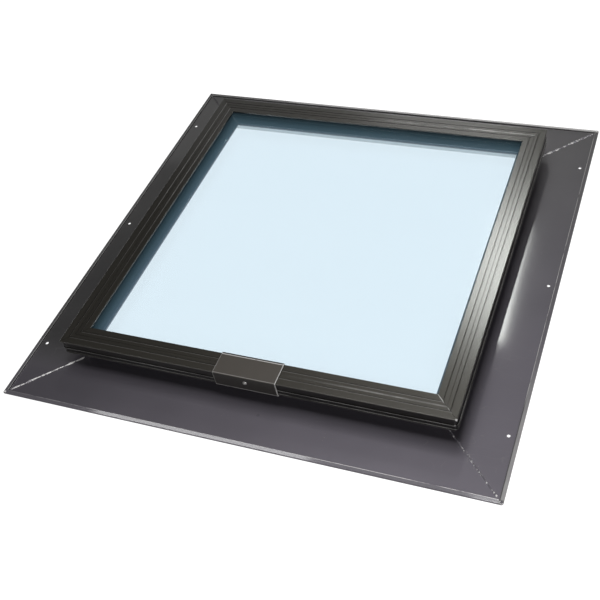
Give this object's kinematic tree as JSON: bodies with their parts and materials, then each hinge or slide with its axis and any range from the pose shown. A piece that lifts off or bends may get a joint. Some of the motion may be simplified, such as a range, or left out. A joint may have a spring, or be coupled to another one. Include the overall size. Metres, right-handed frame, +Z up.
{
  "type": "roof skylight",
  "caption": "Fixed square roof skylight: a sealed glass unit held by a grooved dark bronze frame on a folded, hemmed sheet flange that is nailed flat to the roof.",
  "frame": {"origin": "centre of the underside of the flange", "axes": "+Z up out of the roof, -Y towards the sill side with the joint clip, +X to the right seen from the sill"},
  "size_m": [0.7746, 0.7746, 0.056],
  "materials": {
    "flashing_sheet": "dark grey coated sheet, semi gloss",
    "weld_metal": "rough bare weld",
    "glazing_tape": "matt",
    "pane_glass": "clear, light blue tint",
    "seal_rubber": "matt",
    "spacer_metal": "dark grey anodised",
    "key_plastic": "matt",
    "drying_fill": "granular",
    "block_rubber": "matt",
    "frame_metal": "dark bronze anodised, brushed along its length",
    "clip_metal": "dark bronze anodised, satin",
    "plate_metal": "mill",
    "screw_steel": "plated"
  },
  "bodies": {
    "root": {"flashing_sill": "flashing_sheet", "flashing_right": "flashing_sheet", "flashing_head": "flashing_sheet", "flashing_left": "flashing_sheet", "corner_weld_far_right": "weld_metal", "corner_weld_far_left": "weld_metal", "corner_weld_near_left": "weld_metal", "corner_weld_near_right": "weld_metal", "glazing_tape_sill": "glazing_tape", "glazing_tape_right": "glazing_tape", "glazing_tape_head": "glazing_tape", "glazing_tape_left": "glazing_tape", "inner_pane": "pane_glass", "outer_pane": "pane_glass", "inner_butyl_seal": "seal_rubber", "outer_butyl_seal": "seal_rubber", "edge_seal": "seal_rubber", "spacer_sill": "spacer_metal", "spacer_right": "spacer_metal", "spacer_head": "spacer_metal", "spacer_left": "spacer_metal", "spacer_corner_keys": "key_plastic", "desiccant": "drying_fill", "setting_blocks": "block_rubber", "edge_blocks": "block_rubber", "frame_gasket": "seal_rubber", "retaining_frame": "frame_metal", "joint_clip": "clip_metal", "joint_backing_plate": "plate_metal", "clip_screw": "screw_steel"}
  },
  "joints": []
}
